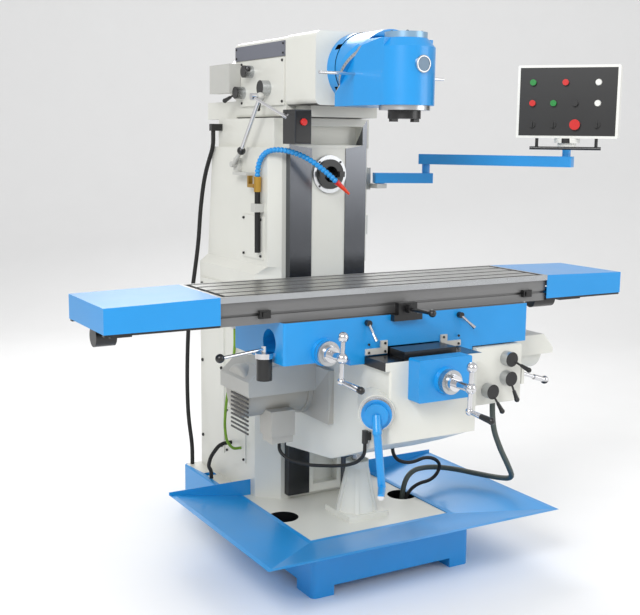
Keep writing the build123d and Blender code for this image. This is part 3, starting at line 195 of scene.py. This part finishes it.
CHROME = surface("chrome", (0.86, 0.86, 0.87), 0.12, metallic=1.0, grain=0.0, mottle=0.02)
SILVER = surface("satin_steel", (0.76, 0.77, 0.78), 0.28, metallic=1.0, mottle=0.03)
PALE_BLUE = surface("cap_enamel", (0.55, 0.68, 0.78), 0.3, metallic=0.5)
BRASS = surface("brass", (0.78, 0.62, 0.30), 0.3, metallic=1.0)
RED = surface("red_plastic", (0.80, 0.07, 0.05), 0.3, coat=0.4, grain=0.0)
ORANGE = surface("orange_plastic", (0.86, 0.22, 0.08), 0.35, grain=0.0)
GREEN = surface("green_plastic", (0.03, 0.52, 0.20), 0.3, coat=0.4, grain=0.0)
MILK = surface("milk_plastic", (0.90, 0.90, 0.88), 0.35, grain=0.0)
GLASS = surface("sight_glass", (0.34, 0.45, 0.54), 0.3, coat=0.3, grain=0.0)


# ---------------------------------------------------------------- painting the CAD pieces
def near(points, x=None, y=None, z=None):
    """True for the points whose coordinates lie in the given (low, high) ranges."""
    keep = np.ones(len(points), bool)
    for column, limits in enumerate((x, y, z)):
        if limits is not None:
            keep &= (points[:, column] >= limits[0]) & (points[:, column] <= limits[1])
    return keep


def paint(node, base, *rules):
    """Give a CAD piece its material, and other materials to the faces that each rule's test picks."""
    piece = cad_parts[node]
    mesh = piece.data
    mesh.materials.clear()
    mesh.materials.append(base)
    centres = np.zeros(len(mesh.polygons) * 3, np.float32)
    normals = np.zeros(len(mesh.polygons) * 3, np.float32)
    mesh.polygons.foreach_get("center", centres)
    mesh.polygons.foreach_get("normal", normals)
    centres, normals = centres.reshape(-1, 3), normals.reshape(-1, 3)
    index = np.zeros(len(mesh.polygons), np.int32)
    for number, (material, test) in enumerate(rules, 1):
        mesh.materials.append(material)
        index[test(centres, normals)] = number
    mesh.polygons.foreach_set("material_index", index)
    mesh.update()


def inside(**ranges):
    """A rule's test for faces whose centres lie in those ranges."""
    return lambda c, n: near(c, **ranges)


def from_axis(c, point, axis):
    """How far points are from the line through point along an axis."""
    offset = c - np.array(point)
    along = offset @ np.array(axis)
    return np.linalg.norm(offset - along[:, None] * np.array(axis), axis=1)


# places that several rules and pieces share
Y_AXIS, Z_AXIS = (0, 1, 0), (0, 0, 1)
FLOOR_HOLE = (0.308, -0.17)
HORIZONTAL_SPINDLE = (0, 0, 1.666)
VERTICAL_SPINDLE = (0, -0.575, 0)
DRUM_CENTRE = (0, 0, 2.1)
SWIVEL_CENTRE = np.array((0, -0.36, 2.095))
TABLE_CRANK = (-0.407, -0.688, 1.029)
CROSS_CRANK = (0, 0, 0.922)
TAPER_RADIUS = 0.036
SLOPE = 0.7071                    # sine and cosine of the head's 45-degree joint


def paint_base_and_column():
    floor_x, floor_y = FLOOR_HOLE
    paint("base_casting", BLUE,
          (WHITE, lambda c, n: (n[:, 2] > 0.5) & (c[:, 2] > 0.19)
           & (np.abs(c[:, 0]) < 0.37) & (c[:, 1] > -0.5)),
          (BLACK, lambda c, n: (np.hypot(np.abs(c[:, 0]) - floor_x, c[:, 1] - floor_y) < 0.07)
           & (np.abs(n[:, 2]) < 0.5)))
    paint("chip_tray", BLUE)
    paint("column_casting", WHITE,
          (WAYS, lambda c, n: near(c, x=(-0.195, 0.195), y=(-0.01, 0.037), z=(0.22, 1.95))
           & (np.abs(c[:, 0]) > 0.08)),
          (BLACK, lambda c, n: near(c, x=(-0.16, 0.16), y=(-0.02, 0.8), z=(1.60, 1.73))
           & (from_axis(c, HORIZONTAL_SPINDLE, Y_AXIS) < 0.083)))
    paint("column_fittings", LIGHT,
          (SILVER, inside(x=(-0.084, 0.084), y=(-0.012, 0.006))),
          (MILK, inside(x=(0.268, 0.302), y=(0.14, 0.22), z=(1.3, 1.5))),
          (BLACK, inside(x=(-0.33, -0.2), y=(0.5, 0.7), z=(1.8, 1.9))),
          (WHITE, inside(x=(-0.31, -0.26), z=(0.3, 1.5))),
          (SILVER, inside(x=(-0.335, -0.299), z=(0.95, 1.0))))
    paint("horizontal_spindle", BLACK,
          (GROUND, lambda c, n: from_axis(c, HORIZONTAL_SPINDLE, Y_AXIS) < TAPER_RADIUS))
    paint("coolant_line", RUBBER,
          (ORANGE, inside(x=(-0.05, 0.03), y=(-0.2, -0.1), z=(1.58, 1.62))),
          (RED, inside(x=(-0.05, 0.03), y=(-0.2, -0.1), z=(1.62, 1.65))),
          (BRASS, inside(x=(-0.31, -0.27), z=(1.56, 1.66))))
    paint("switch_arm", LIGHT,
          (CHROME, inside(z=(1.80, 1.97))),
          (BLACK, inside(y=(0.22, 0.28))))
    paint("switch_box", BOX_GREY,
          (CHROME, inside(x=(-0.36, -0.256), z=(1.89, 2.02))),
          (BLACK, inside(x=(-0.257, -0.252))))


def paint_knee():
    paint("elevating_stand", WHITE)
    paint("knee_casting", WHITE,
          (GROUND, inside(x=(-0.03, 0.03), y=(-0.31, -0.24), z=(0.0, 0.47))),
          (WAYS, lambda c, n: (n[:, 2] > 0.7) & near(c, z=(0.985, 1.0))),
          (BLACK, lambda c, n: (n[:, 0] < -0.7) & near(c, x=(-0.23, -0.22), z=(0.94, 1.0))))
    paint("knee_way_covers", BLACK)
    paint("feed_gearbox", WHITE)
    paint("knee_motor", WARM,
          (LIGHT, inside(z=(0.80, 0.91))),
          (BLACK, inside(x=(-0.245, -0.2), y=(-0.71, -0.67))))
    paint("cross_feed_box", BLUE)


def paint_saddle_and_table():
    paint("saddle_casting", BLUE,
          (WAYS, lambda c, n: (n[:, 2] > 0.7) & near(c, z=(1.145, 1.155))))
    paint("saddle_fittings", LIGHT,
          (BLACK, inside(x=(-0.65, -0.57), z=(0.9, 1.012))),
          (CHROME, inside(x=(-0.65, -0.57), z=(1.012, 1.04))),
          (BLACK, inside(x=(-0.12, 0.03), z=(1.12, 1.2))))
    paint("table_slab", TABLE_FRONT,
          (TABLE, lambda c, n: (n[:, 2] > 0.5) & near(c, z=(1.255, 1.262))),
          (SILVER, lambda c, n: (np.abs(n[:, 2]) < 0.5) & near(c, y=(-0.668, -0.655), z=(1.237, 1.262))),
          # black on the level faces of the table's front half between z 1.176 and 1.199
          (BLACK, lambda c, n: near(c, y=(-0.70, -0.50), z=(1.176, 1.199)) & (np.abs(n[:, 2]) > 0.5)),
          # painted shade: the upward faces sunk below the table's top, in its slots, are black
          (BLACK, lambda c, n: (n[:, 2] > 0.5) & near(c, z=(1.20, 1.25))))
    paint("table_covers", BLUE)
    paint("table_end_parts", BLACK)


def on_swivel_ring(c, n):
    """Faces of the head body's ring at the 45-degree joint: round its rim, square to the joint's plane."""
    from_joint = (c - SWIVEL_CENTRE)[:, 1:].sum(axis=1) * SLOPE
    tilt = n[:, 1:].sum(axis=1) * SLOPE
    return ((np.abs(from_joint + 0.008) < 0.0095) & (np.abs(tilt) < 0.3)
            & (np.linalg.norm(c - SWIVEL_CENTRE, axis=1) > 0.155))


def in_drum_windows(c, n):
    """Faces sunk just below the drum's rim, in its flange."""
    from_centre = from_axis(c, DRUM_CENTRE, Y_AXIS)
    return near(c, y=(-0.292, -0.24)) & (from_centre < 0.1465) & (from_centre > 0.115)


def paint_ram_and_head():
    # painted shade: the ram's downward faces between z 1.90 and 1.96 are black
    paint("ram_casting", WHITE,
          (BLACK, lambda c, n: (n[:, 2] < -0.6) & near(c, z=(1.90, 1.96))))
    paint("ram_motor", WHITE, (LIGHT, inside(x=(-0.27, -0.19))))
    paint("shift_panel", PANEL, (WHITE, inside(z=(1.95, 2.162))))
    paint("head_drum", BLUE,
          (SILVER, inside(y=(-0.232, -0.224))),
          (BLACK, in_drum_windows))
    paint("head_body", BLUE, (SILVER, on_swivel_ring))
    paint("head_trim", CHROME,
          (GLASS, lambda c, n: (n[:, 1] < -0.9) & near(c, y=(-0.70, -0.689), z=(2.0, 2.14))),
          (PALE_BLUE, inside(z=(2.195, 2.23))))
    paint("vertical_spindle", BLACK,
          (SILVER, lambda c, n: near(c, z=(1.929, 1.95)) & (from_axis(c, VERTICAL_SPINDLE, Z_AXIS) > 0.066)),
          (GROUND, lambda c, n: from_axis(c, VERTICAL_SPINDLE, Z_AXIS) < TAPER_RADIUS))


ELEVATING_HUB = np.array((-0.248, -0.801, 0.803))
ELEVATING_OUT = np.array((-sin(radians(35)), -cos(radians(35)), 0))


def paint_cranks_and_levers():
    paint("table_crank", SILVER,
          (BLACK, lambda c, n: near(c, y=(-1.0, -0.78)) & (from_axis(c, TABLE_CRANK, Y_AXIS) >= 0.06)
           & (c[:, 2] < TABLE_CRANK[2])),
          (CHROME, inside(y=(-0.90, -0.72))))
    paint("cross_crank", SILVER,
          (BLACK, lambda c, n: near(c, y=(-1.2, -1.02)) & (from_axis(c, CROSS_CRANK, Y_AXIS) >= 0.05)
           & (c[:, 2] < CROSS_CRANK[2])),
          (CHROME, inside(y=(-1.1, -0.94))))
    paint("elevating_crank", BLUE,
          (SILVER, lambda c, n: (c - ELEVATING_HUB) @ ELEVATING_OUT < 0.022),
          (CHROME, inside(z=(0.40, 0.53))))
    for place in ("upper", "middle", "lower"):
        paint("feed_dial_" + place, BLACK, (SILVER, lambda c, n: near(c, y=(-0.73, -0.69)) & (n[:, 1] < 0.5)))
    for place in ("upper", "lower", "front"):
        paint("shift_dial_" + place, BLACK, (SILVER, inside(x=(-0.235, -0.2))))
    paint("rapid_lever", CHROME,
          (BLACK, inside(y=(-0.9, -0.76))),
          (BLACK, inside(z=(0.7, 0.80))))
    for side in ("left", "right"):
        paint("saddle_clamp_" + side, CHROME, (BLACK, inside(y=(-0.70, -0.67))))
    paint("table_feed_lever", BLACK)
    paint("pump_lever", CHROME, (BLACK, inside(x=(-0.9, -0.76))))


PANEL_OUT = np.array((-sin(radians(50)), -cos(radians(50)), 0))
PENDANT_POST = np.array((0.870, -0.550, 0))
PANEL_FACE = 0.043                # the black panel stands this far in front of the pendant's middle


def paint_pendant():
    for arm in ("pendant_lower_arm", "pendant_upper_arm"):
        paint(arm, BLUE)
    paint("pendant_box", MILK,
          (BLACK, lambda c, n: (n @ PANEL_OUT > 0.95) & ((c - PENDANT_POST) @ PANEL_OUT > PANEL_FACE)))
    paint("pendant_trim", BLACK, (MILK, inside(z=(1.95, 2.1))))
    for row in ("upper", "lower"):
        paint("button_green_" + row, GREEN)
        paint("button_red_" + row, RED)
    paint("button_black", BLACK)
    paint("stop_button", RED)
    for side in ("left", "middle", "right"):
        paint("selector_" + side, BLACK)


def paint_cords():
    for name in ("floor_conduit", "column_conduit", "motor_cable", "knee_cable"):
        paint(name, RUBBER)
    paint("knee_hose", HOSE_GREY)
    paint("earth_hose", EARTH)


paint_base_and_column()
paint_knee()
paint_saddle_and_table()
paint_ram_and_head()
paint_cranks_and_levers()
paint_pendant()
paint_cords()


# ---------------------------------------------------------------- building detail pieces
def add_mesh(name, parts, material, body):
    """One piece from a list of (vertices, faces) parts, riding on a body."""
    vertices, faces, start = [], [], 0
    for points, loops in parts:
        vertices.extend(tuple(p) for p in points)
        faces.extend(tuple(start + i for i in loop) for loop in loops)
        start += len(points)
    mesh = bpy.data.meshes.new(name)
    mesh.from_pydata(vertices, [], faces)
    mesh.materials.append(material)
    mesh.update()
    piece = bpy.data.objects.new(name, mesh)
    bpy.context.collection.objects.link(piece)
    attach(piece, body)
    return piece


def axes_about(axis):
    """Two unit vectors square to an axis, turning right-handedly about it, and the axis at unit length."""
    axis = Vector(axis).normalized()
    helper = Vector((0, 0, 1)) if abs(axis.z) < 0.9 else Vector((1, 0, 0))
    first = helper.cross(axis).normalized()
    return np.array(first), np.array(axis.cross(first)), np.array(axis)


def lathe(centre, axis, profile, sides=32, hoop=False):
    """A closed turned shape: centre + r cos(a) u + r sin(a) v + h w for each (r, h) of the profile,
    where u and v are square to the axis w. The ends are capped, or joined to each other in a hoop."""
    u, v, w = axes_about(axis)
    angles = np.arange(sides) * 2 * pi / sides
    ring = np.cos(angles)[:, None] * u + np.sin(angles)[:, None] * v
    points = np.concatenate([np.array(centre) + r * ring + h * w for r, h in profile])
    loops = []
    rows = len(profile)
    for row in range(rows if hoop else rows - 1):
        this, following = row * sides, (row + 1) % rows * sides
        for i in range(sides):
            j = (i + 1) % sides
            loops.append((this + i, this + j, following + j, following + i))
    if not hoop:
        loops.append(tuple(range(sides))[::-1])
        loops.append(tuple((rows - 1) * sides + i for i in range(sides)))
    return points, loops


def slab(x, y, z, chamfer=0.001):
    """A box between (low, high) pairs with its top and bottom edges chamfered: four rings of four corners."""
    points, loops = [], []
    for height, inset in ((z[0], chamfer), (z[0] + chamfer, 0), (z[1] - chamfer, 0), (z[1], chamfer)):
        points += [(x[0] + inset, y[0] + inset, height), (x[1] - inset, y[0] + inset, height),
                   (x[1] - inset, y[1] - inset, height), (x[0] + inset, y[1] - inset, height)]
    for row in range(3):
        for i in range(4):
            j = (i + 1) % 4
            loops.append((row * 4 + i, row * 4 + j, row * 4 + 4 + j, row * 4 + 4 + i))
    loops.append((3, 2, 1, 0))
    loops.append((12, 13, 14, 15))
    return points, loops


def bolt(place, axis, radius=0.008, height=0.007):
    """A socket-head screw: chamfered round head with a sunk round socket."""
    return lathe(place, axis, ((radius, -0.001), (radius, height - 0.001), (radius - 0.001, height),
                               (radius * 0.55, height), (radius * 0.5, height * 0.45)), sides=12)


LEFT, FRONT, REAR, RIGHT, TOP = (-1, 0, 0), (0, -1, 0), (0, 1, 0), (1, 0, 0), (0, 0, 1)
PLATE_SCREW, SMALL_SCREW = 0.006, 0.005        # head radii of the smaller screws


def add_screws():
    """Screws of the column's plates, the shift panel, the knee wipers and the spindle's ring."""
    column = [bolt((-0.308, y, z), LEFT) for y in (0.46, 0.68) for z in (0.36, 0.74, 1.12)]
    column += [bolt((0.308, y, z), RIGHT) for y in (0.27, 0.68) for z in (0.36, 0.74, 1.12)]
    column += [bolt((x, 0.735, z), REAR) for x in (-0.18, 0.18) for z in (0.33, 0.72, 1.12)]
    column += [bolt((-0.274, y, z), LEFT, PLATE_SCREW) for y in (0.115, 0.285) for z in (1.305, 1.465)]
    column += [bolt((-0.305, y, z), LEFT, PLATE_SCREW) for y in (0.226, 0.406) for z in (0.352, 0.546)]
    add_mesh("column_bolts", column, BLACK, "frame")
    panel = [bolt((-0.206, y, z), LEFT, PLATE_SCREW, 0.005) for y in (0.05, 0.445) for z in (1.975, 2.147)]
    panel += [bolt((-0.202, y, z), LEFT, SMALL_SCREW, 0.004) for y in (0.05, 0.51) for z in (2.177, 2.217)]
    add_mesh("panel_bolts", panel, BLACK, "ram")
    wipers = [bolt((side * x, -0.685, z), FRONT, SMALL_SCREW, 0.004)
              for side in (-1, 1) for x in (0.14, 0.214) for z in (1.010, 1.042)]
    add_mesh("wiper_bolts", wipers, BLACK, "saddle")
    ring_radius, ring_z = 0.074, HORIZONTAL_SPINDLE[2]
    ring = [bolt((ring_radius * cos(a), -0.010, ring_z + ring_radius * sin(a)), FRONT, SMALL_SCREW, 0.003)
            for a in (pi / 4, 3 * pi / 4, 5 * pi / 4, 7 * pi / 4)]
    add_mesh("spindle_ring_bolts", ring, BLACK, "frame")


def add_switch_cover():
    """Black cover and red button on the front of the switch."""
    add_mesh("switch_cover", [slab((-0.250, -0.180), (-0.156, -0.151), (1.800, 1.931))], BLACK, "switch_box")
    cap = lathe((-0.215, -0.156, 1.885), FRONT, ((0.015, -0.001), (0.015, 0.006), (0.013, 0.009)), 24)
    add_mesh("switch_button", [cap], RED, "switch_box")


def add_motor_grille():
    """Slots of the fan cowl, one above another on the knee motor's left end."""
    motor_left, slot_height, slot_pitch = -0.538, 0.008, 0.018
    slots = [slab((motor_left - 0.004, motor_left + 0.001), (-0.30, -0.14), (z, z + slot_height))
             for z in np.arange(0.63, 0.79, slot_pitch)]
    add_mesh("motor_grille", slots, BLACK, "knee")


BOX_LOOPS = [(0, 2, 3, 1), (4, 5, 7, 6), (0, 1, 5, 4), (2, 6, 7, 3), (0, 4, 6, 2), (1, 3, 7, 5)]
MARKS, MARKS_PER_LONG = 72, 6


def add_swivel_marks():
    """Short lines round the ring of the tilted joint, one every 5 degrees and a longer one every 30."""
    u, v, w = axes_about((0, -SLOPE, -SLOPE))
    half_width, thickness = 0.0006, 0.0006
    marks = []
    for step in range(MARKS):
        angle = 2 * pi * step / MARKS
        outward = np.cos(angle) * u + np.sin(angle) * v
        across = -np.sin(angle) * u + np.cos(angle) * v
        length = 0.007 if step % MARKS_PER_LONG else 0.012
        corner = SWIVEL_CENTRE + outward * 0.1578 + w * 0.002
        points = [corner + across * a + w * b + outward * c
                  for c in (0, thickness) for b in (0, length) for a in (-half_width, half_width)]
        marks.append((points, BOX_LOOPS))
    add_mesh("swivel_marks", marks, BLACK, "head")


def add_turned_trim():
    """Band on the table crank's dial, rim of the sight glass, screws of the head's cap."""
    band = lathe(TABLE_CRANK, FRONT, ((0.0475, 0.004), (0.0482, 0.006), (0.0482, 0.012), (0.0475, 0.014)), 48)
    add_mesh("table_dial_band", [band], BLUE, "table_crank")
    rim = ((0.033, -0.004), (0.033, 0.001), (0.030, 0.003), (0.027, 0.003), (0.026, -0.004))
    add_mesh("sight_ring", [lathe((0, -0.697, 2.1), FRONT, rim, 40, hoop=True)], SILVER, "head")
    cap_radius, cap_top = 0.066, 2.223
    cap_y = VERTICAL_SPINDLE[1]
    cap = [bolt((cap_radius * cos(a), cap_y + cap_radius * sin(a), cap_top), TOP, SMALL_SCREW, 0.004)
           for a in np.arange(6) * pi / 3]
    add_mesh("cap_bolts", cap, BLACK, "head")


add_screws()
add_switch_cover()
add_motor_grille()
add_swivel_marks()
add_turned_trim()

# ---------------------------------------------------------------- free cords
HOSE_ROUTE = ((438, -640, 741), (438, -640, 640), (486, -636, 530), (556, -624, 424), (628, -570, 346),
              (646, -452, 312), (610, -330, 304), (560, -216, 304), (474, -144, 306), (378, -134, 296),
              (318, -158, 226), (312, -164, 120))
CABLE_ROUTE = ((190, -262, 478), (190, -262, 420), (284, -258, 376), (392, -254, 400), (476, -248, 350),
               (440, -240, 276), (350, -212, 258), (304, -196, 190), (302, -192, 110))


def cord_line(name, route):
    """A NURBS curve whose control points are the route, given in millimetres."""
    curve = bpy.data.curves.new(name, "CURVE")
    curve.dimensions = "3D"
    spline = curve.splines.new("NURBS")
    spline.points.add(len(route) - 1)
    for point, place in zip(spline.points, route):
        point.co = tuple(c / 1000 for c in place) + (1,)
    spline.order_u = 3
    spline.use_endpoint_u = True
    spline.resolution_u = 16
    piece = bpy.data.objects.new(name, curve)
    bpy.context.collection.objects.link(piece)
    return piece


def hose(name, route, diameter, material, node):
    """A free hose: a bevelled NURBS curve in place of its CAD tube."""
    piece = cord_line(name, route)
    piece.data.bevel_depth = diameter / 2
    piece.data.bevel_resolution = 6
    piece.data.use_fill_caps = True
    piece.data.materials.append(material)
    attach(piece, "frame")
    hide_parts(node)


COOLANT_ROUTE = ((-290, 118, 1652), (-290, 118, 1716), (-276, 34, 1776), (-190, -66, 1760), (-98, -116, 1694),
                 (-38, -130, 1638))
SEGMENT = 0.0165                  # length of one ball-jointed segment of the coolant hose
SEGMENT_NUDGE = 0.004             # each segment points along the path between this far behind and ahead
SEGMENT_SIDES = 24
SEGMENT_PROFILE = ((0.0075, -0.0105), (0.0095, -0.008), (0.0118, -0.004), (0.0124, 0.0), (0.0112, 0.005),
                   (0.0085, 0.0075), (0.0080, 0.0105))        # (radius, height) of its ball and socket


def beads(name, route, material, node, body):
    """Turned segments spaced evenly by length along a route's spline, in place of its CAD tube."""
    line = cord_line(name + "_route", route)
    bpy.context.view_layer.update()
    path_mesh = bpy.data.meshes.new_from_object(line.evaluated_get(bpy.context.evaluated_depsgraph_get()))
    path = np.array([v.co for v in path_mesh.vertices])
    bpy.data.objects.remove(line)
    travelled = np.concatenate(([0], np.cumsum(np.linalg.norm(np.diff(path, axis=0), axis=1))))
    count = int(travelled[-1] / SEGMENT)
    stations = (np.arange(count) + 0.5) * travelled[-1] / count

    def on_path(lengths):
        return np.stack([np.interp(lengths, travelled, path[:, k]) for k in range(3)], axis=1)

    at = on_path(stations)
    ahead, behind = on_path(stations + SEGMENT_NUDGE), on_path(stations - SEGMENT_NUDGE)
    chain = [lathe(place, tuple(direction), SEGMENT_PROFILE, SEGMENT_SIDES) for place, direction in zip(at, ahead - behind)]
    piece = add_mesh(name, chain, material, body)
    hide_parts(node)
    return piece


beads("coolant_segments", COOLANT_ROUTE, BLUE, "coolant_hose", "frame")
hose("knee_hose_line", HOSE_ROUTE, 0.024, HOSE_GREY, "knee_hose")
hose("knee_cable_line", CABLE_ROUTE, 0.016, RUBBER, "knee_cable")

# ---------------------------------------------------------------- edges
EDGE_WIDTH = 0.0012
EDGE_ANGLE = radians(35)          # edges sharper than this are rounded
REPLACED_NODES = ("knee_hose", "knee_cable", "coolant_hose")
for name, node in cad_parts.items():
    if name in REPLACED_NODES:
        continue
    bevel = node.modifiers.new("edges", "BEVEL")
    bevel.width = EDGE_WIDTH
    bevel.segments = 2
    bevel.limit_method = "ANGLE"
    bevel.angle_limit = EDGE_ANGLE
    bevel.harden_normals = True

# ---------------------------------------------------------------- floor and light
FLOOR_HALF_WIDTH = 25.0
FLOOR_NEAR, FLOOR_FAR = -14.0, 5.0      # where the floor starts and where it begins to curve up
SWEEP_RADIUS = 3.0
BACKDROP_TOP = 14.0
SWEEP_STEPS = 25
sweep = [(FLOOR_NEAR, 0.0)]
sweep += [(FLOOR_FAR + SWEEP_RADIUS * sin(a), SWEEP_RADIUS * (1 - cos(a)))
          for a in np.linspace(0, pi / 2, SWEEP_STEPS)]
sweep += [(FLOOR_FAR + SWEEP_RADIUS, BACKDROP_TOP)]
floor_points = [view_level * distance + level_right * side + Vector((0, 0, height))
                for distance, height in sweep for side in (-FLOOR_HALF_WIDTH, FLOOR_HALF_WIDTH)]
floor_loops = [(2 * i, 2 * i + 1, 2 * i + 3, 2 * i + 2) for i in range(len(sweep) - 1)]
floor_mesh = bpy.data.meshes.new("floor")
floor_mesh.from_pydata(floor_points, [], floor_loops)
floor_mesh.materials.append(surface("floor_pale", (0.93, 0.93, 0.93), 0.7, grain=0.02, mottle=0.01))
floor_mesh.polygons.foreach_set("use_smooth", np.ones(len(floor_mesh.polygons), bool))
floor = bpy.data.objects.new("floor", floor_mesh)
bpy.context.collection.objects.link(floor)


def soft_light(name, place, target, size, power):
    """A square area lamp that looks from place towards target."""
    lamp = bpy.data.lights.new(name, "AREA")
    lamp.size = size
    lamp.energy = power
    holder = bpy.data.objects.new(name, lamp)
    bpy.context.collection.objects.link(holder)
    holder.location = place
    holder.rotation_euler = (Vector(target) - Vector(place)).to_track_quat("-Z", "Y").to_euler()


soft_light("key", (-4.0, -3.6, 4.6), (0, -0.2, 1.1), 2.2, 230)
soft_light("fill", (3.6, -4.2, 2.8), (0, -0.2, 1.0), 3.0, 70)
soft_light("back", (1.5, 4.5, 4.5), (0, 0, 1.4), 3.0, 160)
WORLD_STRENGTH = 0.72
world = bpy.data.worlds.new("studio")
world.use_nodes = True
world.node_tree.nodes["Background"].inputs["Color"].default_value = (1.0, 1.0, 1.0, 1)
world.node_tree.nodes["Background"].inputs["Strength"].default_value = WORLD_STRENGTH
bpy.context.scene.world = world
bpy.context.scene.view_settings.view_transform = "Standard"
